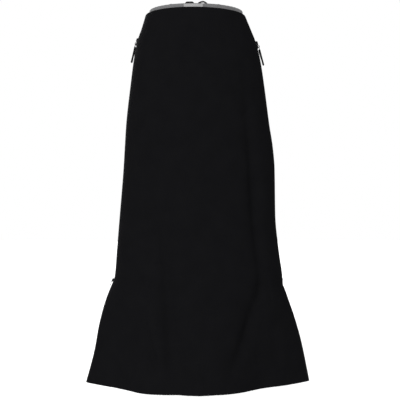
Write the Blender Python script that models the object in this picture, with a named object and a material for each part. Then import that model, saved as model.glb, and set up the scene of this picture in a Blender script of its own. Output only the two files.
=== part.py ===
"""A long black overskirt in the form it has when worn: metres, +Z up, the front facing -Y.

The origin is the middle of the waist, where the wearer holds the skirt, and a height is a drop below it.
The shell is a front and a back panel between level rows. A row is a closed line round the body, and a
place on it is an angle: 0 is the left side, 90 the middle of the front, 180 the right side, 270 the back.
"""

import math
from collections import namedtuple

import bmesh
import bpy
import numpy as np
from mathutils import Matrix, Vector

CLOTH = 0.0016  # thickness of the shell's cloth
GAP = 0.0003  # between neighbouring pieces
LENGTH = 0.974  # waist to hem at the sides
WAIST_TILT = 0.009  # the waist sits a little higher on the left: rise for each metre across
HEM_TILT = 0.007  # and the hem a little lower there
TILT_REACH = 0.30  # distance from the waist or the hem at which its tilt has faded out
ROW_STEP = 0.034  # distance between the shell's level rows
VENT_STEP = 0.020  # and between the first two rows of a vent
PANEL_COLUMNS = {"front": 35, "back": 29}
LINE_STEPS = 361  # points of a row's line before it is cut into columns
SHARP = math.radians(40)  # an edge that turns further than this is a hard one

# Half-widths and half-depths of the outer line. `flare` is the part of the half-width that only the sides
# have, and `point` is 1 for a round side and nears 2 for a sharp one. The turns, in degrees, are how far
# the left seam is swung to the back and the right one to the front, or if negative to the back.
Row = namedtuple("Row", "drop left right front back flare point left_turn right_turn")
ROWS = [
    Row(0.000, 0.1325, 0.1340, 0.1060, 0.1040, 0.0000, 1.00, 2.0, 2.0),
    Row(0.035, 0.1430, 0.1485, 0.1100, 0.1100, 0.0000, 1.00, 2.5, 2.5),
    Row(0.067, 0.1540, 0.1612, 0.1130, 0.1150, 0.0000, 1.00, 3.0, 3.0),
    Row(0.115, 0.1635, 0.1735, 0.1160, 0.1200, 0.0000, 1.00, 3.5, 4.0),
    Row(0.180, 0.1720, 0.1838, 0.1190, 0.1250, 0.0000, 1.00, 4.0, 8.0),
    Row(0.292, 0.1845, 0.1985, 0.1210, 0.1280, 0.0000, 1.00, 5.0, 17.0),
    Row(0.350, 0.1880, 0.2075, 0.1215, 0.1285, 0.0000, 1.00, 5.5, 18.0),
    Row(0.405, 0.1912, 0.2122, 0.1220, 0.1290, 0.0000, 1.00, 6.0, 15.5),
    Row(0.533, 0.2015, 0.2142, 0.1240, 0.1295, 0.0000, 1.00, 6.0, 6.5),
    Row(0.630, 0.2095, 0.2240, 0.1275, 0.1305, 0.0000, 1.00, 5.0, -2.5),
    Row(0.694, 0.2150, 0.2328, 0.1315, 0.1325, 0.0000, 1.00, 4.0, -9.0),
    Row(0.714, 0.2218, 0.2340, 0.1328, 0.1333, 0.0030, 1.03, 3.5, -10.0),
    Row(0.726, 0.2272, 0.2388, 0.1340, 0.1340, 0.0062, 1.06, 3.0, -10.0),
    Row(0.758, 0.2392, 0.2502, 0.1370, 0.1355, 0.0145, 1.18, 2.0, -8.5),
    Row(0.823, 0.2565, 0.2714, 0.1430, 0.1395, 0.0250, 1.45, 1.0, -4.5),
    Row(0.887, 0.2682, 0.2871, 0.1490, 0.1435, 0.0310, 1.66, 0.5, -1.8),
    Row(LENGTH, 0.2910, 0.3044, 0.1570, 0.1500, 0.0365, 1.80, 0.0, 0.0),
]
FLARE_FOCUS = 5  # how closely the flare keeps to the sides

# The vents: each side seam is left open from the knee down, and the zip on its edges is undone.
VENT_TOP = 0.702
VENT_SPREAD = 0.046  # between the front and back edges at the hem
FRONT_SHARE = 0.2  # how much of that spread the front edge takes, and the back edge the rest
SPREAD_FOCUS = 3  # how closely the spread keeps to the sides of the panels

# The large soft folds. `depth` is how far the cloth is pushed in, and a ridge has a negative one.
Fold = namedtuple("Fold", "top top_angle foot foot_angle width depth")
FOLDS = [
    Fold(0.22, 132, 0.76, 139, 0.024, 0.0080),  # front: down from the right hip
    Fold(0.67, 142, 0.95, 107, 0.021, 0.0110),  # front: from the right knee in to the hem
    Fold(0.72, 128, 1.23, 132, 0.060, 0.0130),  # front: hollow above the hem on the right
    Fold(0.48, 64, 1.04, 82, 0.021, 0.0080),  # front: down the left thigh to the hem
    Fold(0.66, 56, 0.94, 70, 0.018, -0.0065),  # front: ridge beside it
    Fold(0.74, 58, 1.21, 62, 0.045, -0.0110),  # front: swell above the hem on the left
    Fold(0.80, 57, 0.94, 69, 0.010, 0.0045),  # front: short crease at the left knee
    Fold(0.20, 222, 0.78, 217, 0.024, 0.0075),  # back: down from the right hip
    Fold(0.66, 214, 0.96, 243, 0.022, 0.0105),  # back: from the right knee in to the hem
    Fold(0.42, 301, 1.04, 288, 0.022, 0.0080),  # back: down the left thigh to the hem
    Fold(0.70, 318, 0.97, 303, 0.017, -0.0060),  # back: ridge beside it
]

# The grey elastic waistband: its height above the waist, and how far inside the shell's line it lies.
# It has slipped a little to the right, which `shift` gives.
Band = namedtuple("Band", "height side_inset front_inset shift")
BAND_ROWS = [
    Band(0.0125, 0.0090, 0.0140, 0.0015),
    Band(0.0000, 0.0080, 0.0120, 0.0015),
    Band(-0.0180, 0.0060, 0.0075, 0.0008),
    Band(-0.0360, 0.0028, 0.0028, 0.0000),
]
BAND = 0.0018  # thickness
BAND_COLUMNS = 64
PATCH = {"left": -0.0285, "right": 0.0205, "top": 0.0108, "foot": -0.0120, "thick": 0.0008}
PATCH_COLUMNS, PATCH_LINES = 9, 3

# Two ribbon loops behind the band, with their tops showing over it.
Loop = namedtuple("Loop", "side left right top peak peak_rise")
LOOPS = [
    Loop("left", -0.0260, -0.0020, 0.0172, -0.0130, 0.0000),
    Loop("right", 0.0070, 0.0330, 0.0165, 0.0212, 0.0025),
]
LOOP_FOOT = -0.014
RIBBON = {"width": 0.0042, "thick": 0.0009, "bend": 0.0040}
BEND_STEPS = 5

# The zips. Sizes across run along the cloth, and sizes out stand off it.
HIP_ZIP = {"left": (0.062, 0.222), "right": (0.070, 0.230)}  # drops of its two ends
ZIP_SHOWS = 0.0064  # width of tape between the panels' edges at the hips
ZIP_SINKS = 0.0006  # how far the tape lies below the cloth
TAPE = 0.0010
COIL = {"width": 0.0030, "crest_width": 0.0018, "height": 0.0011}
ZIP_STEP = 0.020  # distance between the sections of a hip zip
VENT_TAPE = 0.0056  # width of the tape beyond each panel's edge at the vents
TOOTH = {"width": 0.0018, "height": 0.0007}
SLOT_RAMP = 0.005  # length over which a seam opens to let a zip in
VENT_HEAD = 0.0065  # tape above the top of a vent

# The folded tape end over a hip zip's head: `crest` is the width of its top, and `side` its edges' height.
STOP = {"height": 0.0090, "width": 0.0120, "thick": 0.0048, "crest": 0.0076, "side": 0.0022}
STOP_LINES = 4

# Sliders and pulls, in their own axes: across the zip, out of the cloth, and up along the zip.
SLIDER = {
    "length": 0.0096,
    "nose": 0.0048,  # width of its upper end
    "shoulder": 0.0080,  # its greatest width
    "waist": 0.0062,  # width of its lower half
    "low": 0.0009,
    "high": 0.0034,
}
BRIDGE = {"width": 0.0018, "bar": 0.0011, "top": 0.0036, "foot": -0.0032, "low": 0.0026}
Pull = namedtuple("Pull", "hinge bridge thick")  # the axis it turns on, its bridge's top, its tab's thickness
PULLS = {"hip": Pull(0.0049, 0.0071, 0.0012), "vent": Pull(0.0041, 0.0059, 0.0009)}
TAB = {"width": 0.0058, "window": 0.0027, "window_end": 0.0050, "shoulder": 0.0066}
TAB_EDGE = 0.0002
TONGUE = {"width": 0.0028, "end": 0.0125}  # the part of a hip's tab that its grip is moulded on
SHORT_TAB = {"waist": 0.0044, "foot": 0.0056, "tip": 0.0034, "end": 0.0165}  # a vent's tab, which has no grip
Station = namedtuple("Station", "along width thick shift")
GRIP = [  # the moulded grip, by the distance from the hinge; `shift` is towards the cloth
    Station(0.0080, 0.0046, 0.0034, 0.0004),
    Station(0.0096, 0.0062, 0.0048, 0.0008),
    Station(0.0160, 0.0060, 0.0050, 0.0009),
    Station(0.0260, 0.0060, 0.0046, 0.0008),
    Station(0.0390, 0.0062, 0.0042, 0.0006),
    Station(0.0455, 0.0072, 0.0044, 0.0006),
    Station(0.0505, 0.0070, 0.0044, 0.0006),
    Station(0.0525, 0.0050, 0.0030, 0.0006),
]
GRIP_SIDES = 12
GRIP_ROUNDNESS = 0.6  # 1 for an oval section, and less for one nearer a rectangle
HIP_SLIDER_DROP = {"left": 0.073, "right": 0.081}
VENT_SLIDER_DROP = VENT_TOP + 0.004
HIP_REACH = {"left": (0.006, 0.006), "right": (0.003, 0.020)}  # above and below, the seam that sets its slope
VENT_REACH = (0.010, 0.012)
VENT_LIFT = {"left": 0.0008, "right": 0.0018}  # clear of the two rows of teeth that part below a vent's slider

BLACK_CLOTH = ("overskirt cloth", (0.0070, 0.0070, 0.0078), 0.62, 0.0)
GREY_ELASTIC = ("waistband elastic", (0.20, 0.20, 0.20), 0.75, 0.0)
PALE_PATCH = ("waistband patch", (0.38, 0.38, 0.38), 0.70, 0.0)
BLACK_RIBBON = ("ribbon", (0.010, 0.010, 0.011), 0.60, 0.0)
BLACK_TAPE = ("zip tape", (0.008, 0.008, 0.009), 0.70, 0.0)
BLACK_METAL = ("lacquered slider", (0.012, 0.012, 0.013), 0.35, 0.6)
GREY_METAL = ("pull tab metal", (0.42, 0.42, 0.43), 0.30, 1.0)
MOULDED = ("moulded grip", (0.009, 0.009, 0.010), 0.50, 0.0)


def eased(value):
    """0 below 0, 1 above 1, and a smooth rise between."""
    value = min(max(value, 0.0), 1.0)
    return value * value * (3 - 2 * value)


def slopes(stations, values):
    """Slopes of a smooth curve through the values that never overshoots them."""
    steps = np.diff(stations)
    rises = np.diff(values) / steps
    inner = []
    for before, after, step, following in zip(rises, rises[1:], steps, steps[1:]):
        if before * after <= 0:
            inner.append(0.0)
            continue
        near, far = 2 * following + step, following + 2 * step
        inner.append((near + far) / (near / before + far / after))
    return [rises[0], *inner, rises[-1]]


DROPS = [row.drop for row in ROWS]
SLOPES = {name: slopes(DROPS, [getattr(row, name) for row in ROWS]) for name in Row._fields[1:]}


def row_at(drop):
    """The section row at any drop, with the top one going on above the waist."""
    inside = min(max(drop, DROPS[0]), DROPS[-1])
    low = min(int(np.searchsorted(DROPS, inside, side="right")) - 1, len(ROWS) - 2)
    step = DROPS[low + 1] - DROPS[low]
    part = (inside - DROPS[low]) / step
    found = {"drop": drop}
    for name, grades in SLOPES.items():
        start, end = getattr(ROWS[low], name), getattr(ROWS[low + 1], name)
        found[name] = (
            start * (1 - eased(part))
            + end * eased(part)
            + step * part * (1 - part) * ((1 - part) * grades[low] - part * grades[low + 1])
        )
    return Row(**found)


def oval(row, angles, inset_side=0.0, inset_front=0.0):
    """Points in plan on a row's oval, as arrays across and along the depth."""
    half = (row.left + row.right) / 2 - inset_side
    middle = (row.right - row.left) / 2
    sines, cosines = np.sin(angles), np.cos(angles)
    depths = np.where(sines > 0, row.front, row.back) - inset_front
    widths = half - row.flare * (1 - np.abs(cosines) ** FLARE_FOCUS)
    return middle - widths * cosines, -np.sign(sines) * depths * np.abs(sines) ** row.point


def distances(across, depth):
    return np.concatenate([[0], np.cumsum(np.hypot(np.diff(across), np.diff(depth)))])


def outward(across, depth):
    """Unit vectors that point out of a line run round the body from left to front to right to back."""
    run, rise = np.gradient(across), np.gradient(depth)
    length = np.hypot(run, rise)
    return rise / length, -run / length


def folded(drop, angles, across, depth):
    """The line with the folds pressed into it."""
    along = distances(across, depth)
    push = np.zeros(len(angles))
    for fold in FOLDS:
        part = (drop - fold.top) / (fold.foot - fold.top)
        if not 0 < part < 1:
            continue
        angle = math.radians(fold.top_angle + (fold.foot_angle - fold.top_angle) * part)
        away = along - np.interp(angle, angles, along)
        inside = angles[0] < angle < angles[-1]
        push += inside * fold.depth * math.sin(math.pi * part) ** 0.8 * np.exp(-((away / fold.width) ** 2))
    out_x, out_y = outward(across, depth)
    return across - push * out_x, depth - push * out_y


def panel_line(panel, drop):
    """A panel's outer line at a drop, from seam to seam: the way round is left, front, right, back."""
    row = row_at(drop)
    left, right = -math.radians(row.left_turn), math.pi - math.radians(row.right_turn)
    ends = (left, right) if panel == "front" else (right, left + 2 * math.pi)
    angles = np.linspace(*ends, LINE_STEPS)
    across, depth = oval(row, angles)
    share = -FRONT_SHARE if panel == "front" else 1 - FRONT_SHARE
    opened = max(drop - VENT_TOP, 0.0) / (LENGTH - VENT_TOP)
    depth = depth + share * VENT_SPREAD * opened * np.abs(np.cos(angles)) ** SPREAD_FOCUS
    return folded(drop, angles, across, depth)


def height_at(drop, across):
    at_waist, at_hem = 1 - eased(drop / TILT_REACH), 1 - eased((LENGTH - drop) / TILT_REACH)
    return -drop + (HEM_TILT * at_hem - WAIST_TILT * at_waist) * across


def level_points(drop, across, depth, places, out):
    """Points at distances along a level line, moved out of it."""
    along = distances(across, depth)
    out_x, out_y = outward(across, depth)
    x = np.interp(places, along, across + out * out_x)
    y = np.interp(places, along, depth + out * out_y)
    return [Vector(point) for point in zip(x, y, height_at(drop, x))]


def on_panel(panel, drop, from_start, out=0.0):
    """A point on a panel at a distance along its line, or before its end where that is negative."""
    across, depth = panel_line(panel, drop)
    where = from_start if from_start >= 0 else distances(across, depth)[-1] + from_start
    return level_points(drop, across, depth, [where], out)[0]


def by_seam(side, drop, to_front, out=0.0):
    """A point by a side seam, at a distance from it towards the front or, if negative, the back."""
    if side == "left":
        panel, where = ("front", to_front) if to_front > 0 else ("back", min(to_front, -1e-7))
    else:
        panel, where = ("front", -to_front) if to_front > 0 else ("back", -to_front)
    return on_panel(panel, drop, where, out)


def edge_inset(side, drop):
    """How far a panel's edge stands back from the seam's line, to make room for what lies in it."""
    top, foot = HIP_ZIP[side]
    entering = eased((drop - top) / SLOT_RAMP + 1)
    leaving = eased((foot - drop) / SLOT_RAMP + 1)
    at_hip = entering * leaving * (ZIP_SHOWS / 2 + GAP / 2)
    at_vent = eased((drop - VENT_TOP + VENT_HEAD + GAP) / SLOT_RAMP + 1) * (VENT_TAPE + GAP)
    return GAP / 2 + at_hip + at_vent


def drops_between(stations, step):
    """Drops from station to station, at even steps near the one asked for."""
    found = [stations[0]]
    for start, end in zip(stations, stations[1:]):
        count = max(1, round((end - start) / step))
        found += [start + (end - start) * (number + 1) / count for number in range(count)]
    return found


def panel_drops():
    stations = {0.0, LENGTH}
    for top, foot in HIP_ZIP.values():
        stations |= {top - SLOT_RAMP, top, foot, foot + SLOT_RAMP}
    head = VENT_TOP - VENT_HEAD - GAP
    stations |= {head - SLOT_RAMP, head, VENT_TOP + VENT_STEP}
    return drops_between(sorted(stations), ROW_STEP)


def material(finish):
    name, colour, roughness, metallic = finish
    made = bpy.data.materials.get(name) or bpy.data.materials.new(name)
    made.use_nodes = True
    shader = made.node_tree.nodes["Principled BSDF"]
    shader.inputs["Base Color"].default_value = (*colour, 1.0)
    shader.inputs["Roughness"].default_value = roughness
    shader.inputs["Metallic"].default_value = metallic
    made.diffuse_color = (*colour, 1.0)
    return made


def place(name, mesh, finish):
    """The finished mesh as an object of its own, shaded smooth but for its sharp edges."""
    made = bpy.data.objects.new(name, mesh)
    bpy.context.scene.collection.objects.link(made)
    mesh.materials.append(material(finish))
    mesh.shade_smooth()
    mesh.set_sharp_from_angle(angle=SHARP)
    return made


def wall(name, outer, inner, finish, closed=False):
    """A wall between two surfaces of rows that run from the top down and anticlockwise seen from above."""
    lines, columns = len(outer), len(outer[0])
    points = [point for surface in (outer, inner) for line in surface for point in line]

    def corner(surface, line, column):
        return (surface * lines + line) * columns + column % columns

    faces = []
    for column in range(columns if closed else columns - 1):
        beside = column + 1
        for line in range(lines - 1):
            for surface in (0, 1):
                face = [
                    corner(surface, line, column),
                    corner(surface, line + 1, column),
                    corner(surface, line + 1, beside),
                    corner(surface, line, beside),
                ]
                faces.append(face if surface == 0 else face[::-1])
        for line in (0, lines - 1):
            face = [
                corner(0, line, column),
                corner(0, line, beside),
                corner(1, line, beside),
                corner(1, line, column),
            ]
            faces.append(face if line == 0 else face[::-1])
    if not closed:
        for line in range(lines - 1):
            for column in (0, columns - 1):
                face = [
                    corner(0, line, column),
                    corner(1, line, column),
                    corner(1, line + 1, column),
                    corner(0, line + 1, column),
                ]
                faces.append(face if column == 0 else face[::-1])
    mesh = bpy.data.meshes.new(name)
    mesh.from_pydata(points, [], faces)
    return place(name, mesh, finish)


def loft(name, rings, finish):
    """A closed solid through rings of points, with flat ends."""
    sides = len(rings[0])
    points = [point for ring in rings for point in ring]
    faces = [tuple(range(sides)), tuple(reversed(range(len(points) - sides, len(points))))]
    for ring in range(len(rings) - 1):
        for side in range(sides):
            beside = (side + 1) % sides
            near, far = ring * sides, (ring + 1) * sides
            faces.append((near + beside, near + side, far + side, far + beside))
    mesh = bpy.data.meshes.new(name)
    mesh.from_pydata(points, [], faces)
    body = bmesh.new()
    body.from_mesh(mesh)
    bmesh.ops.recalc_face_normals(body, faces=body.faces)
    body.to_mesh(mesh)
    body.free()
    return place(name, mesh, finish)


def make_panel(panel):
    """The front or the back, cut from seam to seam and from waist to hem."""
    starts, ends = ("left", "right") if panel == "front" else ("right", "left")
    outer, inner = [], []
    for drop in panel_drops():
        across, depth = panel_line(panel, drop)
        along = distances(across, depth)
        edges = edge_inset(starts, drop), along[-1] - edge_inset(ends, drop)
        places = np.linspace(*edges, PANEL_COLUMNS[panel])
        outer.append(level_points(drop, across, depth, places, 0.0))
        inner.append(level_points(drop, across, depth, places, -CLOTH))
    wall(f"{panel}_panel", outer, inner, BLACK_CLOTH)


def band_line(band, angles):
    across, depth = oval(row_at(-band.height), angles, band.side_inset, band.front_inset)
    return across + band.shift, depth


def band_at(height):
    """The waistband's row at any height."""
    rows = sorted(BAND_ROWS)
    levels = [band.height for band in rows]
    found = {name: np.interp(height, levels, [getattr(band, name) for band in rows]) for name in Band._fields}
    return Band(**found)


def on_band(across, height, out):
    """A point in front on the waistband, at a place across and a height, moved out from its outer face."""
    in_front = np.linspace(math.radians(45), math.radians(135), LINE_STEPS)
    x, y = band_line(band_at(height), in_front)
    out_x, out_y = outward(x, y)
    depth = np.interp(across, x, y)
    shift_x, shift_y = np.interp(across, x, out_x), np.interp(across, x, out_y)
    return Vector((across + out * shift_x, depth + out * shift_y, height_at(-height, across)))


def make_waistband():
    """A ring of ribbed elastic, its foot close inside the shell and its top standing above it."""
    angles = np.linspace(0, 2 * math.pi, 2 * LINE_STEPS - 1)
    outer, inner = [], []
    for band in BAND_ROWS:
        across, depth = band_line(band, angles)
        places = np.linspace(0, distances(across, depth)[-1], BAND_COLUMNS, endpoint=False)
        outer.append(level_points(-band.height, across, depth, places, 0.0))
        inner.append(level_points(-band.height, across, depth, places, -BAND))
    wall("waistband", outer, inner, GREY_ELASTIC, closed=True)


def make_patch():
    """A blank woven patch on the front of the waistband."""
    rings = []
    heights = np.linspace(PATCH["top"], PATCH["foot"], PATCH_LINES)
    for across in np.linspace(PATCH["left"], PATCH["right"], PATCH_COLUMNS):
        outer = [on_band(across, height, GAP + PATCH["thick"]) for height in heights]
        inner = [on_band(across, height, GAP) for height in reversed(heights)]
        rings.append(outer + inner)
    loft("waistband_patch", rings, PALE_PATCH)


def make_loop(loop):
    """A ribbon bent into an upright loop, lying against the inside of the waistband."""
    half = RIBBON["width"] / 2
    left, right, top = loop.left + half, loop.right - half, loop.top - half
    swings = np.linspace(0, math.pi / 2, BEND_STEPS)
    bend = RIBBON["bend"]
    corner = [(bend * (1 - math.cos(swing)), top - bend * (1 - math.sin(swing))) for swing in swings]
    path = [(left, LOOP_FOOT), (left, 0.0)]
    path += [(left + across, height) for across, height in corner]
    path.append((loop.peak, top + loop.peak_rise))
    path += [(right - across, height) for across, height in reversed(corner)]
    path += [(right, 0.0), (right, LOOP_FOOT)]
    near = -BAND - GAP
    far = near - RIBBON["thick"]
    rings = []
    for number, (across, height) in enumerate(path):
        before, after = path[max(number - 1, 0)], path[min(number + 1, len(path) - 1)]
        way = Vector((after[0] - before[0], after[1] - before[1])).normalized()
        ring = []
        for aside, out in ((-half, near), (half, near), (half, far), (-half, far)):
            ring.append(on_band(across - aside * way.y, height + aside * way.x, out))
        rings.append(ring)
    loft(f"ribbon_loop_{loop.side}", rings, BLACK_RIBBON)


def make_hip_zip(side):
    """A closed pocket zip in the side seam: two tapes as one strip, with the coil proud along its middle."""
    top, foot = HIP_ZIP[side]
    edge, coil, crest = ZIP_SHOWS / 2 - GAP, COIL["width"] / 2, COIL["crest_width"] / 2
    back, face, high = -ZIP_SINKS - TAPE, -ZIP_SINKS, COIL["height"] - ZIP_SINKS
    half = [(edge, back), (edge, face), (coil, face), (crest, high)]
    profile = half + [(-aside, out) for aside, out in reversed(half)]
    drops = drops_between([top, foot], ZIP_STEP)
    rings = [[by_seam(side, drop, aside, out) for aside, out in profile] for drop in drops]
    loft(f"hip_zip_{side}", rings, BLACK_TAPE)


def make_hip_stop(side):
    """The folded tape end that covers the head of a hip zip."""
    foot = HIP_SLIDER_DROP[side] - SLIDER["length"] / 2 - 3 * GAP
    edge, crest, low = STOP["width"] / 2, STOP["crest"] / 2, COIL["height"] - ZIP_SINKS + GAP
    half = [(edge, low), (edge, STOP["side"]), (crest, STOP["thick"])]
    profile = half + [(-aside, out) for aside, out in reversed(half)]
    drops = np.linspace(foot - STOP["height"], foot, STOP_LINES)
    rings = [[by_seam(side, drop, aside, out) for aside, out in profile] for drop in drops]
    loft(f"hip_stop_{side}", rings, BLACK_RIBBON)


def make_vent_tape(side, panel):
    """One half of an undone zip: a tape beyond the panel's edge, with a row of teeth along its rim."""
    sign = 1 if panel == "front" else -1
    rim, tooth, high = GAP / 2, GAP / 2 + TOOTH["width"], TOOTH["height"]
    teeth = [(rim, high), (tooth, high), (tooth + high, 0.0)]
    profile = teeth + [(VENT_TAPE, 0.0), (VENT_TAPE, -TAPE), (rim, -TAPE)]
    drops = drops_between([VENT_TOP - VENT_HEAD, VENT_TOP + VENT_STEP, LENGTH], ROW_STEP)
    rings = [[by_seam(side, drop, sign * aside, out) for aside, out in profile] for drop in drops]
    loft(f"vent_tape_{panel}_{side}", rings, BLACK_TAPE)


def slider_frame(side, drop, reach, lift=0.0):
    """Axes of a slider: across the zip, out of the cloth and up along the zip, from its place on the seam."""
    above, below = reach
    up = (by_seam(side, drop - above, 0.0) - by_seam(side, drop + below, 0.0)).normalized()
    out = by_seam(side, drop, 0.0, 1.0) - by_seam(side, drop, 0.0)
    across = out.cross(up).normalized()
    out = up.cross(across)
    frame = Matrix((across, out, up)).transposed().to_4x4()
    frame.translation = by_seam(side, drop, 0.0) + out * lift
    return frame


def block(name, outline, low, high, frame, finish):
    """A plate cut to an outline of places across and up, between two distances out of the cloth."""
    rings = [[frame @ Vector((across, out, up)) for across, up in outline] for out in (low, high)]
    return loft(name, rings, finish)


def soften(made, width):
    edge = made.modifiers.new("soft edge", "BEVEL")
    edge.width = width
    edge.segments = 2
    edge.limit_method = "ANGLE"
    edge.angle_limit = SHARP


def helper(made):
    """A solid that only shapes another one."""
    made.hide_render = True
    made.display_type = "WIRE"
    return made


def combine(made, other, operation):
    step = made.modifiers.new(operation.lower(), "BOOLEAN")
    step.operation = operation
    step.solver = "EXACT"
    step.object = helper(other)


def make_slider(name, frame, pull):
    """A shield-shaped body over the coil with a bridge that the pull hangs from."""
    end = SLIDER["length"] / 2
    nose, shoulder, waist = SLIDER["nose"] / 2, SLIDER["shoulder"] / 2, SLIDER["waist"] / 2
    half = [(waist, -end), (waist, 0.0), (shoulder, end / 2), (nose, end)]
    outline = half + [(-across, up) for across, up in reversed(half)]
    body = block(name, outline, SLIDER["low"], SLIDER["high"], frame, BLACK_METAL)
    bar, low, high = BRIDGE["bar"], BRIDGE["low"], pull.bridge
    foot, top = BRIDGE["foot"], BRIDGE["top"]
    corners = [(foot, high - bar), (foot + bar, high), (top - bar, high), (top, high - bar)]
    outer = [(foot, low), *corners, (top, low)]
    inner = [(top - bar, low), (top - bar, high - bar), (foot + bar, high - bar), (foot + bar, low)]
    half_width = BRIDGE["width"] / 2
    rings = []
    for across in (-half_width, half_width):
        rings.append([frame @ Vector((across, out, up)) for up, out in outer + inner])
    combine(body, loft(f"{name}_bridge", rings, BLACK_METAL), "UNION")


def make_tab(name, frame, pull, lower):
    """The metal tab: a bar under the bridge, two arms, and a lower end given by half an outline."""
    wide, window, thick = TAB["width"] / 2, TAB["window"] / 2, pull.thick / 2
    end = TAB["window_end"]
    half = [(wide, thick), (wide, -end), *lower]
    outline = half + [(-across, up) for across, up in reversed(half)]
    tab = block(name, outline, pull.hinge - thick, pull.hinge + thick, frame, GREY_METAL)
    hole = [(-window, -thick), (window, -thick), (window, -end), (-window, -end)]
    cut = block(f"{name}_window", hole, pull.hinge - 2 * thick, pull.hinge + 2 * thick, frame, GREY_METAL)
    combine(tab, cut, "DIFFERENCE")
    soften(tab, TAB_EDGE)


def make_grip(name, frame, pull):
    """The moulded grip on the tab's tongue, a little thicker at its two ends."""
    rings = []
    for station in GRIP:
        ring = []
        for number in range(GRIP_SIDES):
            turn = 2 * math.pi * (number + 0.5) / GRIP_SIDES
            cosine, sine = math.cos(turn), math.sin(turn)
            across = math.copysign(abs(cosine) ** GRIP_ROUNDNESS, cosine) * station.width / 2
            out = math.copysign(abs(sine) ** GRIP_ROUNDNESS, sine) * station.thick / 2
            ring.append(frame @ Vector((across, pull.hinge - station.shift + out, -station.along)))
        rings.append(ring)
    grip = loft(name, rings, MOULDED)
    wide, thick, end = TONGUE["width"] / 2 + GAP, pull.thick / 2 + GAP, TONGUE["end"] + GAP
    hole = [(-wide, -TAB["shoulder"]), (wide, -TAB["shoulder"]), (wide, -end), (-wide, -end)]
    cut = block(f"{name}_slot", hole, pull.hinge - thick, pull.hinge + thick, frame, MOULDED)
    combine(grip, cut, "DIFFERENCE")


def make_hip_pull(side):
    """A hip zip's slider, fixed on the closed zip, with the tab and grip that swing from its bridge."""
    frame, pull = slider_frame(side, HIP_SLIDER_DROP[side], HIP_REACH[side]), PULLS["hip"]
    make_slider(f"hip_slider_{side}", frame, pull)
    wide = TONGUE["width"] / 2
    make_tab(f"hip_tab_{side}", frame, pull, [(wide, -TAB["shoulder"]), (wide, -TONGUE["end"])])
    make_grip(f"hip_grip_{side}", frame, pull)


def make_vent_pull(side):
    """A vent zip's slider, run up to the top of the vent, with a short metal tab that swings from it."""
    frame = slider_frame(side, VENT_SLIDER_DROP, VENT_REACH, VENT_LIFT[side])
    pull = PULLS["vent"]
    make_slider(f"vent_slider_{side}", frame, pull)
    waist, foot, tip = SHORT_TAB["waist"] / 2, SHORT_TAB["foot"] / 2, SHORT_TAB["tip"] / 2
    end = SHORT_TAB["end"]
    lower = [(waist, -TAB["shoulder"] - waist), (foot, foot - end), (tip, -end)]
    make_tab(f"vent_tab_{side}", frame, pull, lower)


for old in list(bpy.data.objects):
    bpy.data.objects.remove(old)

for panel_name in PANEL_COLUMNS:
    make_panel(panel_name)
make_waistband()
make_patch()
for ribbon in LOOPS:
    make_loop(ribbon)
for side_name in ("left", "right"):
    make_hip_zip(side_name)
    make_hip_stop(side_name)
    make_hip_pull(side_name)
    for panel_name in PANEL_COLUMNS:
        make_vent_tape(side_name, panel_name)
    make_vent_pull(side_name)
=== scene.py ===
import math
from collections import namedtuple
from functools import cache

import bmesh
import bpy
import numpy as np
from mathutils import Matrix, Vector


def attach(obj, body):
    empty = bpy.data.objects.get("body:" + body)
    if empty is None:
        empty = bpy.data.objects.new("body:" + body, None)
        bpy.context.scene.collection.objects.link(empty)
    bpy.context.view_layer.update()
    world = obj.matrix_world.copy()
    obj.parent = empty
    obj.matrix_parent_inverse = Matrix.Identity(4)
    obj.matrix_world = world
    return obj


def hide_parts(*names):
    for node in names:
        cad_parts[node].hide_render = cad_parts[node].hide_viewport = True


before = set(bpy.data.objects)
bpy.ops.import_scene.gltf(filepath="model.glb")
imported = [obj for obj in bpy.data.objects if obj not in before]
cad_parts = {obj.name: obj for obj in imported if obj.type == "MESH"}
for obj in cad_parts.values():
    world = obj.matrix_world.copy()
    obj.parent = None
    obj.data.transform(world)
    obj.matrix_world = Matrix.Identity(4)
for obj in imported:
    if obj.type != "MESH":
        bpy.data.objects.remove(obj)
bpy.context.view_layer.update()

# The studio. A level camera stands two metres in front, at about half the skirt's height, which hangs as if
# worn with its hem a hand above a pale paper floor. White light comes from all round, and broad lamps add
# more from the front, from the left and from behind.

CAMERA_PLACE = (0.0129, -2.0, -0.4904)
FOCAL_PIXELS = 747.4  # of the 400-pixel frame
SENSOR = 36.0
FLOOR_HEIGHT = -1.10
FLOOR_REACH = 9.0


def placed(name, data):
    """A new object in the scene."""
    made = bpy.data.objects.new(name, data)
    bpy.context.scene.collection.objects.link(made)
    return made


camera_lens = bpy.data.cameras.new("camera")
camera_lens.sensor_width = SENSOR
camera_lens.lens = SENSOR * FOCAL_PIXELS / 400
camera = placed("camera", camera_lens)
camera.location = CAMERA_PLACE
camera.rotation_euler = (math.pi / 2, 0.0, 0.0)
bpy.context.scene.camera = camera
bpy.context.scene.view_settings.view_transform = "Standard"

studio = bpy.data.worlds.new("studio")
studio.use_nodes = True
studio.node_tree.nodes["Background"].inputs["Color"].default_value = (1.0, 1.0, 1.0, 1.0)
studio.node_tree.nodes["Background"].inputs["Strength"].default_value = 1.0
bpy.context.scene.world = studio


def add_lamp(name, strength, spread, towards):
    """A far, broad lamp that shines along a direction."""
    lamp = bpy.data.lights.new(name, "SUN")
    lamp.energy = strength
    lamp.angle = math.radians(spread)
    placed(name, lamp).rotation_euler = Vector(towards).to_track_quat("-Z", "Y").to_euler()


add_lamp("front_lamp", 4.2, 30, (0.22, 1.0, -0.40))
add_lamp("left_lamp", 0.9, 60, (1.0, 0.10, -0.25))
add_lamp("back_lamp", 2.4, 40, (0.45, -1.0, -0.45))


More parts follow.
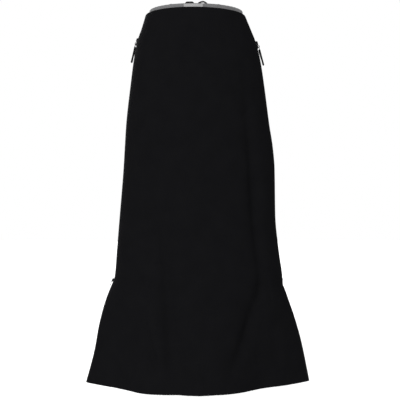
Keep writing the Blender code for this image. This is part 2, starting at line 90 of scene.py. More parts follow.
class Link:
    """An output in a node tree, on which sums are written as plain expressions."""

    def __init__(self, tree, socket=None):
        self.tree = tree
        self.socket = socket

    def node(self, kind, settings=(), values=(), output=0):
        """Adds a node, makes its settings and then its sockets' values or links, and gives an output."""
        made = self.tree.nodes.new(kind)
        for name, value in dict(settings).items():
            if name == "stops":
                ramp = made.color_ramp.elements
                while len(ramp) < len(value):
                    ramp.new(0.5)
                for stop, (place, colour) in zip(ramp, value):
                    stop.position = place
                    stop.color = (*colour, 1.0)
            else:
                setattr(made, name, value)
        for name, value in dict(values).items():
            if isinstance(value, Link):
                self.tree.links.new(value.socket, made.inputs[name])
            else:
                made.inputs[name].default_value = value
        return Link(self.tree, made.outputs[output])

    def feed(self, socket):
        self.tree.links.new(self.socket, socket)

    def maths(self, operation, first, second=0.0):
        return self.node("ShaderNodeMath", {"operation": operation}, {0: first, 1: second})

    def __add__(self, other):
        return self.maths("ADD", self, other)

    def __sub__(self, other):
        return self.maths("SUBTRACT", self, other)

    def __rsub__(self, other):
        return self.maths("SUBTRACT", other, self)

    def __mul__(self, other):
        return self.maths("MULTIPLY", self, other)

    def __pow__(self, other):
        return self.maths("POWER", self, other)

    def __abs__(self):
        return self.maths("ABSOLUTE", self)

    __radd__ = __add__
    __rmul__ = __mul__

    def sine(self):
        return self.maths("SINE", self)


def new_finish(name, **constants):
    """A material with its shader's constants set: the material, the start of its tree, and its shader."""
    finish = bpy.data.materials.new(name)
    finish.use_nodes = True
    shader = finish.node_tree.nodes["Principled BSDF"]
    for socket, value in constants.items():
        shader.inputs[socket.replace("_", " ")].default_value = value
    return finish, Link(finish.node_tree), shader.inputs


def blended(tree, share, *colours):
    """A colour between two, each given as its grey and its blue, by a share from 0 to 1."""
    first, second = ((grey, grey, blue, 1.0) for grey, blue in colours)
    values = {0: share, 6: first, 7: second}  # by number, because a mix node's sockets share their names
    return tree.node("ShaderNodeMix", {"data_type": "RGBA", "clamp_factor": True}, values, output=2)


def cloudy(tree, places, scale, detail=2.0, stretch=None):
    """Soft irregular clouds from 0 to 1, of about 1/scale metres, on some coordinates."""
    if stretch:
        places = tree.node("ShaderNodeMapping", (), {"Vector": places, "Scale": stretch})
    return tree.node("ShaderNodeTexNoise", (), {"Vector": places, "Scale": scale, "Detail": detail})


def relief(tree, height, depth, under=None):
    """A normal with a relief of some depth in metres, laid over another one."""
    values = {"Strength": 1.0, "Distance": depth, "Height": height}
    if under:
        values["Normal"] = under
    return tree.node("ShaderNodeBump", (), values)


def coat(tree, shader, share, colours, roughness, height, depth, under=None):
    """Feeds a shader a colour blended by a share, a roughness, and a relief of some depth in metres."""
    blended(tree, share, *colours).feed(shader["Base Color"])
    roughness.feed(shader["Roughness"])
    relief(tree, height, depth, under).feed(shader["Normal"])


def grained(name, colours, fine, coarse, share, rough, depth, **constants):
    """A finish of a fine grain over coarser clouds, or of the grain alone, on a piece's own coordinates.

    Both are given by what `cloudy` takes. The share is the grain's part in the colour. The roughness is a
    base, the grain's part and the clouds' part, and the depth is the grain's relief in metres.
    """
    finish, tree, shader = new_finish(name, **constants)
    places = tree.node("ShaderNodeTexCoord", output="Object")
    grain = cloudy(tree, places, *fine)
    clouds = cloudy(tree, places, *coarse) if coarse else grain
    roughness = rough[0] + rough[1] * grain + rough[2] * clouds
    coat(tree, shader, share * grain + (1 - share) * clouds, colours, roughness, grain, depth)
    return finish


PAPER = [(0.78, 0.78), (0.81, 0.81)]
paper = grained("studio paper", PAPER, (240, 4.0), None, 1, (0.75, 0.1, 0), 0.0002, Specular_IOR_Level=0.2)
floor_mesh = bpy.data.meshes.new("floor")
corners = [(x * FLOOR_REACH, y * FLOOR_REACH, FLOOR_HEIGHT) for x, y in ((-1, -1), (1, -1), (1, 1), (-1, 1))]
floor_mesh.from_pydata(corners, [], [(0, 1, 2, 3)])
floor_mesh.materials.append(paper)
placed("floor", floor_mesh)

# The shell: a front and a back panel of thin, close, matt black woven cloth, sewn at the sides, taken in over
# the hips and flared from the knee, with the hem turned up inside. Each panel is one sheet that hangs from
# the waistband. It is laid out in level rows, and a drop is a row's distance below the waist.

PANELS, SIDES = ("front", "back"), ("left", "right")
CLOTH = 0.0009  # its thickness
LENGTH = 0.974
WAIST_TILT, HEM_TILT, TILT_REACH = 0.009, 0.007, 0.30
Row = namedtuple("Row", "drop left right front back flare point left_turn right_turn")
ROWS = [
    Row(0.000, 0.1325, 0.1340, 0.1060, 0.1040, 0.0000, 1.00, 2.0, 2.0),
    Row(0.035, 0.1430, 0.1485, 0.1100, 0.1100, 0.0000, 1.00, 2.5, 2.5),
    Row(0.067, 0.1540, 0.1612, 0.1130, 0.1150, 0.0000, 1.00, 3.0, 3.0),
    Row(0.115, 0.1635, 0.1735, 0.1160, 0.1200, 0.0000, 1.00, 3.5, 4.0),
    Row(0.180, 0.1720, 0.1838, 0.1190, 0.1250, 0.0000, 1.00, 4.0, 8.0),
    Row(0.292, 0.1845, 0.1985, 0.1210, 0.1280, 0.0000, 1.00, 5.0, 17.0),
    Row(0.350, 0.1880, 0.2075, 0.1215, 0.1285, 0.0000, 1.00, 5.5, 18.0),
    Row(0.405, 0.1912, 0.2122, 0.1220, 0.1290, 0.0000, 1.00, 6.0, 15.5),
    Row(0.533, 0.2015, 0.2142, 0.1240, 0.1295, 0.0000, 1.00, 6.0, 6.5),
    Row(0.630, 0.2095, 0.2240, 0.1275, 0.1305, 0.0000, 1.00, 5.0, -2.5),
    Row(0.694, 0.2150, 0.2328, 0.1315, 0.1325, 0.0000, 1.00, 4.0, -9.0),
    Row(0.714, 0.2218, 0.2340, 0.1328, 0.1333, 0.0030, 1.03, 3.5, -10.0),
    Row(0.726, 0.2272, 0.2388, 0.1340, 0.1340, 0.0062, 1.06, 3.0, -10.0),
    Row(0.758, 0.2392, 0.2502, 0.1370, 0.1355, 0.0145, 1.18, 2.0, -8.5),
    Row(0.823, 0.2565, 0.2714, 0.1430, 0.1395, 0.0250, 1.45, 1.0, -4.5),
    Row(0.887, 0.2682, 0.2871, 0.1490, 0.1435, 0.0310, 1.66, 0.5, -1.8),
    Row(LENGTH, 0.2910, 0.3044, 0.1570, 0.1500, 0.0365, 1.80, 0.0, 0.0),
]
FLARE_FOCUS = 5
LINE_STEPS = 361
VENT_TOP, VENT_SPREAD, FRONT_SHARE, SPREAD_FOCUS = 0.702, 0.046, 0.2, 3

Fold = namedtuple("Fold", "top top_angle foot foot_angle width depth")
FOLDS = [
    Fold(0.22, 132, 0.76, 139, 0.024, 0.0080),  # front: down from the right hip
    Fold(0.67, 142, 0.95, 107, 0.021, 0.0110),  # front: from the right knee in to the hem
    Fold(0.72, 128, 1.23, 132, 0.060, 0.0130),  # front: hollow above the hem on the right
    Fold(0.48, 64, 1.04, 82, 0.021, 0.0080),  # front: down the left thigh to the hem
    Fold(0.66, 56, 0.94, 70, 0.018, -0.0065),  # front: ridge beside it
    Fold(0.74, 58, 1.21, 62, 0.045, -0.0110),  # front: swell above the hem on the left
    Fold(0.80, 57, 0.94, 69, 0.010, 0.0045),  # front: short crease at the left knee
    Fold(0.20, 222, 0.78, 217, 0.024, 0.0075),  # back: down from the right hip
    Fold(0.66, 214, 0.96, 243, 0.022, 0.0105),  # back: from the right knee in to the hem
    Fold(0.42, 301, 1.04, 288, 0.022, 0.0080),  # back: down the left thigh to the hem
    Fold(0.70, 318, 0.97, 303, 0.017, -0.0060),  # back: ridge beside it
]

# Finer creases, by their ends: `aside` is the distance from the middle, towards the right.
Crease = namedtuple("Crease", "aside drop end_aside end_drop width depth")
CREASES = {
    "front": [
        Crease(-0.125, 0.850, -0.099, 0.912, 0.0060, 0.0028),  # above the hem, left
        Crease(0.168, 0.880, 0.184, 0.920, 0.0060, 0.0018),  # above the hem, right
        Crease(0.128, 0.110, 0.190, 0.840, 0.0140, 0.0042),  # the depth of the right side's long fold
        Crease(-0.088, 0.500, -0.058, 0.990, 0.0110, 0.0026),  # and of the left thigh's
        Crease(0.196, 0.690, 0.216, 0.760, 0.0075, 0.0020),  # beside the right vent's head
        Crease(-0.200, 0.705, -0.150, 0.800, 0.0090, 0.0017),  # and the left one's
        Crease(-0.192, 0.740, -0.178, 0.800, 0.0120, -0.0016),
        Crease(-0.150, 0.150, -0.092, 0.190, 0.0080, 0.0010),  # pulls from the hip zips
        Crease(-0.160, 0.226, -0.100, 0.262, 0.0070, 0.0012),
        Crease(0.160, 0.165, 0.104, 0.200, 0.0080, 0.0011),
        Crease(0.172, 0.238, 0.116, 0.285, 0.0075, 0.0013),
        Crease(-0.078, 0.012, -0.092, 0.100, 0.0100, 0.0010),  # below the waist
        Crease(0.066, 0.010, 0.084, 0.110, 0.0100, 0.0012),
        Crease(0.104, 0.014, 0.126, 0.080, 0.0080, 0.0009),
        Crease(-0.030, 0.300, -0.052, 0.520, 0.0200, 0.0014),  # down the thighs
        Crease(0.048, 0.420, 0.066, 0.690, 0.0220, 0.0016),
        Crease(-0.012, 0.600, -0.030, 0.830, 0.0170, 0.0015),
        Crease(0.012, 0.880, 0.016, 1.020, 0.0100, -0.0018),  # waves of the hem
        Crease(-0.040, 0.860, -0.046, 1.040, 0.0140, 0.0016),
        Crease(0.046, 0.900, 0.060, 1.040, 0.0140, 0.0015),
        Crease(0.214, 0.800, 0.250, 0.940, 0.0140, 0.0022),
        Crease(-0.226, 0.860, -0.240, 1.020, 0.0140, 0.0018),
    ],
    "back": [
        Crease(0.176, 0.705, 0.196, 0.780, 0.0080, 0.0020),
        Crease(-0.190, 0.700, -0.140, 0.790, 0.0090, 0.0018),
        Crease(-0.160, 0.180, -0.096, 0.225, 0.0080, 0.0012),
        Crease(0.168, 0.190, 0.106, 0.230, 0.0080, 0.0012),
        Crease(-0.120, 0.240, 0.010, 0.262, 0.0120, 0.0013),  # under the seat
        Crease(0.120, 0.252, 0.020, 0.276, 0.0110, 0.0012),
        Crease(-0.060, 0.012, -0.078, 0.110, 0.0100, 0.0012),
        Crease(0.058, 0.012, 0.074, 0.105, 0.0100, 0.0011),
        Crease(0.030, 0.380, 0.044, 0.640, 0.0210, 0.0016),
        Crease(-0.036, 0.420, -0.050, 0.660, 0.0200, 0.0015),
        Crease(0.004, 0.620, 0.012, 0.860, 0.0180, 0.0016),
        Crease(-0.092, 0.852, -0.118, 0.915, 0.0070, 0.0022),
        Crease(0.020, 0.880, 0.026, 1.030, 0.0120, -0.0016),
        Crease(-0.044, 0.880, -0.050, 1.040, 0.0140, 0.0017),
        Crease(0.150, 0.860, 0.176, 1.020, 0.0140, 0.0019),
    ],
}
SOFT_SEED = 41
SOFT_CREASES = 26  # faint ones on each panel, besides those of the table
SEAM_FADE, WAIST_FADE = (0.012, 0.020), (0.003, 0.012)  # creases fade over these from a seam and the waist
ROLL = [(0.0, -0.0010), (0.0003, -0.0005), (0.0009, -0.0002), (0.0020, 0.0)]  # an edge: distance from it, out
ROLLED = 0.0045  # the stretch beside an edge that the even grid leaves free
LIP, ZIP_LIP = 0.0030, 0.0012  # how deep the cloth is turned in at the seams, and beside a zip
HEM_FOLD, HEM_INSIDE = 0.027, 0.0020  # how high the hem is turned up, and how far inside
PANEL_GRID = {"front": (150, 216), "back": (144, 216)}

HIP_ZIP = {"left": (0.062, 0.222), "right": (0.070, 0.230)}
ZIP_SHOWS = 0.0064
VENT_TAPE, VENT_HEAD = 0.0056, 0.0065
GAP = 0.0003
SLOT_RAMP = 0.005


def eased(value):
    """0 below 0, 1 above 1, and a smooth rise between."""
    value = np.clip(value, 0.0, 1.0)
    return value * value * (3 - 2 * value)


def smooth_curve(stations, values):
    """A smooth curve through the values at the stations that never overshoots them, as a function."""
    steps = np.diff(stations)
    rises = np.diff(values) / steps
    inner = []
    for before, after, step, following in zip(rises, rises[1:], steps, steps[1:]):
        if before * after <= 0:
            inner.append(0.0)
            continue
        near, far = 2 * following + step, following + 2 * step
        inner.append((near + far) / (near / before + far / after))
    grades = [rises[0], *inner, rises[-1]]

    def value_at(place):
        low = min(int(np.searchsorted(stations, place, side="right")) - 1, len(stations) - 2)
        part = (place - stations[low]) / steps[low]
        level = values[low] * (1 - eased(part)) + values[low + 1] * eased(part)
        return level + steps[low] * part * (1 - part) * ((1 - part) * grades[low] - part * grades[low + 1])

    return value_at


DROPS, *MEASURES = zip(*ROWS)
CURVES = [smooth_curve(DROPS, values) for values in MEASURES]


def row_at(drop):
    """The section row at any drop, with the top one going on above the waist."""
    inside = min(max(drop, DROPS[0]), DROPS[-1])
    return Row(drop, *(curve(inside) for curve in CURVES))


def oval(row, angles, inset_side=0.0, inset_front=0.0):
    """Points in plan on a row's oval, as arrays across and along the depth."""
    half = (row.left + row.right) / 2 - inset_side
    middle = (row.right - row.left) / 2
    sines, cosines = np.sin(angles), np.cos(angles)
    depths = np.where(sines > 0, row.front, row.back) - inset_front
    widths = half - row.flare * (1 - np.abs(cosines) ** FLARE_FOCUS)
    return middle - widths * cosines, -np.sign(sines) * depths * np.abs(sines) ** row.point


def distances(across, depth):
    return np.concatenate([[0], np.cumsum(np.hypot(np.diff(across), np.diff(depth)))])


def outward(across, depth):
    """Unit vectors that point out of a line run round the body from left to front to right to back."""
    run, rise = np.gradient(across), np.gradient(depth)
    length = np.hypot(run, rise)
    return rise / length, -run / length


def folded(drop, angles, across, depth):
    """The line with the folds pressed into it."""
    along = distances(across, depth)
    push = np.zeros(len(angles))
    for fold in FOLDS:
        part = (drop - fold.top) / (fold.foot - fold.top)
        if not 0 < part < 1:
            continue
        angle = math.radians(fold.top_angle + (fold.foot_angle - fold.top_angle) * part)
        away = along - np.interp(angle, angles, along)
        inside = angles[0] < angle < angles[-1]
        push += inside * fold.depth * math.sin(math.pi * part) ** 0.8 * np.exp(-((away / fold.width) ** 2))
    out_x, out_y = outward(across, depth)
    return across - push * out_x, depth - push * out_y


Line = namedtuple("Line", "across depth along out_x out_y")


@cache
def panel_line(panel, drop):
    """A panel's outer line at a drop, from seam to seam: the way round is left, front, right, back."""
    row = row_at(drop)
    left, right = -math.radians(row.left_turn), math.pi - math.radians(row.right_turn)
    ends = (left, right) if panel == "front" else (right, left + 2 * math.pi)
    angles = np.linspace(*ends, LINE_STEPS)
    across, depth = oval(row, angles)
    share = -FRONT_SHARE if panel == "front" else 1 - FRONT_SHARE
    opened = max(drop - VENT_TOP, 0.0) / (LENGTH - VENT_TOP)
    depth = depth + share * VENT_SPREAD * opened * np.abs(np.cos(angles)) ** SPREAD_FOCUS
    across, depth = folded(drop, angles, across, depth)
    return Line(across, depth, distances(across, depth), *outward(across, depth))


def soft_creases(seed):
    """Faint creases that run mostly down the cloth, at fixed random places."""
    chance = np.random.RandomState(seed)
    found = []
    for _ in range(SOFT_CREASES):
        aside, drop = chance.uniform(-0.19, 0.19), chance.uniform(0.03, 0.90)
        run, lean = chance.uniform(0.06, 0.22), chance.uniform(-0.035, 0.035)
        width, depth = chance.uniform(0.008, 0.022), chance.uniform(-0.0009, 0.0012)
        found.append(Crease(aside, drop, aside + lean, drop + run, width, depth))
    return found


for number, panel in enumerate(PANELS):
    CREASES[panel] += soft_creases(SOFT_SEED + number)


def creased(panel, drop, places):
    """How far the fine creases push the cloth in, at distances along a panel's line."""
    line = panel_line(panel, drop)
    way = 1 if panel == "front" else -1
    aside = (places - np.interp(0.0, line.across[::way], line.along[::way])) * way
    push = np.zeros(len(places))
    for crease in CREASES[panel]:
        run, fall = crease.end_aside - crease.aside, crease.end_drop - crease.drop
        length = math.hypot(run, fall)
        part = ((aside - crease.aside) * run + (drop - crease.drop) * fall) / length**2
        away = ((aside - crease.aside) * fall - (drop - crease.drop) * run) / length
        fade = np.sin(math.pi * np.clip(part, 0.0, 1.0)) ** 0.8
        push += crease.depth * fade * np.exp(-((away / crease.width) ** 2))
    from_edge = np.minimum(places, line.along[-1] - places)
    push *= eased((from_edge - SEAM_FADE[0]) / SEAM_FADE[1])
    return push * eased((drop - WAIST_FADE[0]) / WAIST_FADE[1])


def height_at(drop, across):
    at_waist, at_hem = 1 - eased(drop / TILT_REACH), 1 - eased((LENGTH - drop) / TILT_REACH)
    return -drop + (HEM_TILT * at_hem - WAIST_TILT * at_waist) * across


def on_cloth(panel, drop, places, out):
    """Points at distances along a panel's line, moved out of the cloth, as an array of rows."""
    line = panel_line(panel, drop)
    places = np.asarray(places, float)
    push = out - creased(panel, drop, places)
    x = np.interp(places, line.along, line.across) + push * np.interp(places, line.along, line.out_x)
    y = np.interp(places, line.along, line.depth) + push * np.interp(places, line.along, line.out_y)
    return np.stack([x, y, height_at(drop, x)], axis=1)


def by_seam(side, drop, to_front, out=0.0):
    """A point by a side seam, at a distance from it towards the front or, if negative, the back."""
    panel = "front" if to_front > 0 else "back"
    from_start = (side == "left") == (panel == "front")
    where = max(abs(to_front), 1e-7)
    if not from_start:
        where = panel_line(panel, drop).along[-1] - where
    return Vector(on_cloth(panel, drop, [where], out)[0])


def edge_inset(side, drop):
    """How far a panel's edge stands back from the seam's line, to make room for what lies in it."""
    top, foot = HIP_ZIP[side]
    entering = eased((drop - top) / SLOT_RAMP + 1)
    leaving = eased((foot - drop) / SLOT_RAMP + 1)
    at_hip = entering * leaving * (ZIP_SHOWS / 2 + GAP / 2)
    at_vent = eased((drop - VENT_TOP + VENT_HEAD + GAP) / SLOT_RAMP + 1) * (VENT_TAPE + GAP)
    return GAP / 2 + at_hip + at_vent


def edge_insets(panel, drop):
    """The insets of a panel's first and last edges."""
    sides = ("left", "right") if panel == "front" else ("right", "left")
    return [edge_inset(side, drop) for side in sides]


def panel_edges(panel, drop):
    """Where a panel's cloth starts and ends along its line."""
    starts, ends = edge_insets(panel, drop)
    return starts, panel_line(panel, drop).along[-1] - ends


def surface_mesh(name, grid, runs, closed=False):
    """A mesh through rows of points from the top down, with its UV map in metres along and down the cloth."""
    rows, columns = len(grid), len(grid[0])
    row, column = np.mgrid[0 : rows - 1, 0 : columns if closed else columns - 1]
    here, beside = row * columns + column, row * columns + (column + 1) % columns
    faces = np.stack([here, here + columns, beside + columns, beside], axis=-1)
    mesh = bpy.data.meshes.new(name)
    mesh.from_pydata(np.concatenate(grid).tolist(), [], faces.reshape(-1, 4).tolist())
    ends = np.stack([row, row + 1, row + 1, row], axis=-1).reshape(-1)
    sides = np.stack([column, column, column + 1, column + 1], axis=-1).reshape(-1)
    wide = np.concatenate([runs[0], runs[0][:, -1:] * 2 - runs[0][:, -2:-1]], axis=1)
    places = np.stack([wide[ends, sides], runs[1][ends]], axis=1)
    mesh.uv_layers.new(name="cloth").data.foreach_set("uv", places.astype(np.float32).reshape(-1))
    mesh.shade_smooth()
    return mesh


def add_piece(mesh, finish, replaced=None, body="skirt", thickness=0.0):
    """The finished mesh as a piece that rides on a body and stands for a solid.

    A sheet gets its thickness, on its inner side.
    """
    made = placed(mesh.name, mesh)
    if finish:
        mesh.materials.clear()
        mesh.materials.append(finish)
    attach(made, body)
    if replaced:
        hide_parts(replaced)
    if thickness:
        wall = made.modifiers.new("cloth thickness", "SOLIDIFY")
        wall.thickness = thickness
        wall.offset = -1.0
    return made


def on_uv(tree):
    """A piece's own UV map in metres, and its coordinates along and down the cloth."""
    places = tree.node("ShaderNodeUVMap", {"uv_map": "cloth"})
    return places, *(tree.node("ShaderNodeSeparateXYZ", (), {"Vector": places}, axis) for axis in "XY")


def cloth_finish():
    """Close plain weave of half-millimetre yarns, a little slubby, softly crumpled and hardly lustrous."""
    finish, tree, shader = new_finish("overskirt cloth", Specular_IOR_Level=0.004)
    places, along, down = on_uv(tree)
    turn = math.tau / 0.0010
    slubs = cloudy(tree, places, 900, 1.0, stretch=(1.0, 0.08, 1.0))
    weave = 0.5 + 0.35 * (along * turn).sine() * (down * turn).sine() + 0.3 * (slubs - 0.5)
    clouds = cloudy(tree, places, 22, 3.0)
    under = relief(tree, cloudy(tree, places, 70, 3.0), 0.0003)
    rough = 0.78 + 0.10 * clouds + 0.05 * weave
    colours = [(0.0020, 0.0023), (0.0036, 0.0040)]
    coat(tree, shader, 0.4 * weave + 0.6 * clouds, colours, rough, weave, 0.00004, under)
    return finish


def panel_mesh(panel):
    """One sheet from its rolled top edge down to the hem and up again inside it."""
    columns, rows = PANEL_GRID[panel]
    rows_down = ROLL + [(drop, 0.0) for drop in np.linspace(ROLLED, LENGTH - ROLLED, rows)]
    rows_down += [(LENGTH - distance, out) for distance, out in reversed(ROLL)]
    rows_down += [(LENGTH - distance, -HEM_INSIDE - out) for distance, out in ROLL]
    rows_down += [(drop, -HEM_INSIDE) for drop in np.linspace(LENGTH - ROLLED, LENGTH - HEM_FOLD, 7)]
    near, sunk = np.array(ROLL).T
    grid, along = [], []
    for drop, out in rows_down:
        first, last = panel_edges(panel, drop)
        inner = np.linspace(first + ROLLED, last - ROLLED, columns)
        places = np.concatenate([[first], first + near, inner, last - near[::-1], [last]])
        lips = [LIP - (LIP - ZIP_LIP) * eased((inset - GAP) / 0.001) for inset in edge_insets(panel, drop)]
        outs = np.concatenate([[-lips[0]], sunk, np.zeros(columns), sunk[::-1], [-lips[1]]]) + out
        grid.append(on_cloth(panel, drop, places, outs))
        along.append(places - (first + last) / 2)
    down = -np.concatenate([[0], np.cumsum(np.abs(np.diff(rows_down, axis=0)).sum(axis=1))])
    return surface_mesh(f"{panel}_shell", grid, (np.array(along), down))


black_cloth = cloth_finish()
for panel in PANELS:
    add_piece(
        panel_mesh(panel), black_cloth, f"{panel}_panel", thickness=CLOTH
    )

# The elastic waistband: a soft grey ring, ribbed along its length and stretched round the waist. It stands a
# little above the shell's edge, and its foot is sewn inside the shell. It is slightly gathered at the sides,
# with two small snags in its top edge in front.

Band = namedtuple("Band", "height side_inset front_inset shift")
BAND_ROWS = [
    Band(-0.0360, 0.0028, 0.0028, 0.0000),
    Band(-0.0180, 0.0060, 0.0075, 0.0008),
    Band(0.0000, 0.0080, 0.0120, 0.0015),
    Band(0.0125, 0.0090, 0.0140, 0.0015),
]
BAND_TOP = [(0.0125, -0.0004), (0.0122, -0.0001), (0.0117, 0.0)]  # the rounded top edge: height, out
ELASTIC = 0.0016  # its thickness
BAND_COLUMNS = 420
RIB, RIB_DEPTH = 0.0024, 0.00030
GATHER, GATHER_DEPTH = 0.0058, 0.00045
SNAGS = [(-0.062, 0.0011, 0.0030), (0.0605, 0.0009, 0.0026)]  # place across, rise, half-width


def band_line(height, angles):
    """The waistband's outer line at a height."""
    heights, *columns = zip(*BAND_ROWS)
    side_inset, front_inset, shift = (np.interp(height, heights, column) for column in columns)
    across, depth = oval(row_at(-height), angles, side_inset, front_inset)
    return across + shift, depth


def on_band(across, height, out):
    """A point in front on the waistband, at a place across and a height, moved out from its outer face."""
    in_front = np.linspace(math.radians(45), math.radians(135), LINE_STEPS)
    x, y = band_line(height, in_front)
    out_x, out_y = outward(x, y)
    depth = np.interp(across, x, y)
    shift_x, shift_y = np.interp(across, x, out_x), np.interp(across, x, out_y)
    return Vector((across + out * shift_x, depth + out * shift_y, height_at(-height, across)))


def waves(place, length):
    """Waves from 0 to 1 of a length in metres."""
    return 0.5 + 0.5 * (place * (math.tau / length)).sine()


def elastic_finish():
    """Grey knitted elastic: fine cords along its length, crossed by a close diagonal hatch."""
    finish, tree, shader = new_finish("waistband elastic", Specular_IOR_Level=0.25, Sheen_Weight=0.1)
    places, along, down = on_uv(tree)
    cords, hatch = waves(down, 0.0012) ** 2.0, waves(along + 0.6 * down, 0.0028)
    clouds = cloudy(tree, places, 55, 3.0)
    share = 0.45 * cords + 0.3 * hatch + 0.7 * clouds - 0.25
    colours = [(0.045, 0.046), (0.106, 0.108)]
    coat(tree, shader, share, colours, 0.72 + 0.12 * clouds, cords + 0.6 * hatch, 0.00012)
    return finish


def band_mesh():
    angles = np.linspace(0, math.tau, 2 * LINE_STEPS - 1)
    rows = BAND_TOP + [(height, 0.0) for height in np.linspace(0.0112, BAND_ROWS[0].height, 60)]
    grid, along = [], []
    for height, out in rows:
        across, depth = band_line(height, angles)
        line, (out_x, out_y) = distances(across, depth), outward(across, depth)
        places = np.linspace(0, line[-1], BAND_COLUMNS, endpoint=False)
        x, y = np.interp(places, line, across), np.interp(places, line, depth)
        share = eased((height + 0.012) / 0.020)
        side = eased(1.6 * np.abs(np.interp(places, line, np.cos(angles))) - 0.35)
        groove = RIB_DEPTH * (0.5 + 0.5 * math.cos(math.tau * (height - BAND_TOP[-1][0]) / RIB)) ** 3
        ripple = GATHER_DEPTH * share * side * np.sin(math.tau * places / GATHER + 0.9 * np.sin(31 * places))
        push = out - groove + ripple
        rise = np.zeros(len(places))
        for place, lift, half in SNAGS:
            rise += lift * np.exp(-(((x - place) / half) ** 2)) * (y < 0) * eased((height - 0.004) / 0.008)
        rise += 0.00025 * side * share * np.sin(math.tau * places / (2.1 * GATHER))
        x, y = x + push * np.interp(places, line, out_x), y + push * np.interp(places, line, out_y)
        grid.append(np.stack([x, y, height_at(-height, x) + rise], axis=1))
        along.append(places)
    down = np.array([height for height, _ in rows])
    return surface_mesh("waistband_elastic", grid, (np.array(along), down), closed=True)


waistband = add_piece(band_mesh(), elastic_finish(), "waistband", thickness=ELASTIC)

# The stitches: short lock stitches of black polyester thread that lie half sunk in the cloth. One row holds
# the turned top edge, one the hem, and one runs beside each zip and vent. Two short close rows bar the folded
# tape end at the head of each hip zip.

STITCH_PITCH, STITCH_SIZE = 0.0030, (0.0024, 0.00042, 0.00042)
TOP_STITCHED, HEM_STITCHED, ZIP_STITCHED = 0.0065, 0.025, 0.0024  # how far in from an edge
BAR_PITCH, BAR_SIZE, BAR_HALF = 0.0006, (0.000576, 0.0016, 0.0004), 0.0036


def parts_tree():
    """Lays small rounded parts along guide lines, each turned to the line and to the way out of the cloth."""
    group = bpy.data.node_groups.new("row of small parts", "GeometryNodeTree")
    kinds = {"Guides": "Geometry", "Pitch": "Float", "Size": "Vector", "Lean": "Float", "Wobble": "Float"}
    kinds.update({"Seed": "Int", "Finish": "Material"})
    for name, kind in kinds.items():
        group.interface.new_socket(name, in_out="INPUT", socket_type=f"NodeSocket{kind}")
    group.interface.new_socket("Parts", in_out="OUTPUT", socket_type="NodeSocketGeometry")
    tree = Link(group)
    entry = group.nodes.new("NodeGroupInput")
    asked = {name: Link(group, entry.outputs[name]) for name in kinds}
    lines = tree.node("GeometryNodeMeshToCurve", (), {"Mesh": asked["Guides"]})
    spacing = {"Curve": lines, "Length": asked["Pitch"]}
    lines = tree.node("GeometryNodeResampleCurve", {"mode": "LENGTH"}, spacing)
    way_out = tree.node("GeometryNodeInputNamedAttribute", {"data_type": "FLOAT_VECTOR"}, {"Name": "out"})
    along = tree.node("GeometryNodeInputTangent")
    axes = {"Primary Axis": way_out, "Secondary Axis": along}
    turn = tree.node("FunctionNodeAxesToRotation", {"primary_axis": "Z", "secondary_axis": "X"}, axes)
    limits = {2: -1.0, 3: 1.0, 8: asked["Seed"]}  # by number, because this node's sockets share their names
    chance = tree.node("FunctionNodeRandomValue", {"data_type": "FLOAT"}, limits, output=1)
    lean = asked["Lean"] + chance * asked["Wobble"]
    lean = tree.node("FunctionNodeAxisAngleToRotation", (), {"Axis": (0.0, 0.0, 1.0), "Angle": lean})
    leaning = {"Rotation": turn, "Rotate By": lean}
    turn = tree.node("FunctionNodeRotateRotation", {"rotation_space": "LOCAL"}, leaning)
    part = tree.node("GeometryNodeMeshUVSphere", (), {"Segments": 6, "Rings": 4, "Radius": 0.5})
    laid = {"Points": lines, "Instance": part, "Rotation": turn, "Scale": asked["Size"]}
    parts = tree.node("GeometryNodeInstanceOnPoints", (), laid)
    parts = tree.node("GeometryNodeRealizeInstances", (), {"Geometry": parts})
    parts = tree.node("GeometryNodeSetShadeSmooth", (), {"Geometry": parts})
    parts = tree.node("GeometryNodeSetMaterial", (), {"Geometry": parts, "Material": asked["Finish"]})
    leave = group.nodes.new("NodeGroupOutput")
    parts.feed(leave.inputs["Parts"])
    return group


ROW_OF_PARTS = parts_tree()


def plain_mesh(name, holder):
    """A mesh of what an object shows, which then goes."""
    mesh = bpy.data.meshes.new_from_object(holder.evaluated_get(bpy.context.evaluated_depsgraph_get()))
    mesh.name = name
    bpy.data.objects.remove(holder)
    return mesh


def lay_parts(name, guides, finish, pitch, size, lean=0.0, wobble=0.0, seed=1):
    """A plain mesh of small parts laid along guides, which are lists of places and ways out of the cloth."""
    points = [point for guide in guides for point, _ in guide]
    ways = [way for guide in guides for _, way in guide]
    edges, start = [], 0
    for guide in guides:
        edges += [(number, number + 1) for number in range(start, start + len(guide) - 1)]
        start += len(guide)
    mesh = bpy.data.meshes.new(f"{name}_guides")
    mesh.from_pydata(points, edges, [])
    mesh.attributes.new("out", "FLOAT_VECTOR", "POINT").data.foreach_set("vector", np.array(ways).reshape(-1))
    holder = placed(f"{name}_guides", mesh)
    layer = holder.modifiers.new("parts", "NODES")
    layer.node_group = ROW_OF_PARTS
    values = {"Pitch": pitch, "Size": size, "Lean": lean, "Wobble": wobble, "Seed": seed, "Finish": finish}
    for socket in ROW_OF_PARTS.interface.items_tree:
        if socket.in_out == "INPUT" and socket.name in values:
            layer[socket.identifier] = values[socket.name]
    return plain_mesh(name, holder)


def cloth_guide(panel, places):
    """A guide line on a panel, through pairs of a drop and a distance along the panel's line."""
    pairs = [on_cloth(panel, drop, [place, place], [0.0, 1.0]) for drop, place in places]
    return [(tuple(point), tuple(above - point)) for point, above in pairs]


def level_guide(panel, drop):
    """A guide from edge to edge of a panel at one drop."""
    first, last = panel_edges(panel, drop)
    return cloth_guide(panel, [(drop, place) for place in np.linspace(first + 0.003, last - 0.003, 140)])


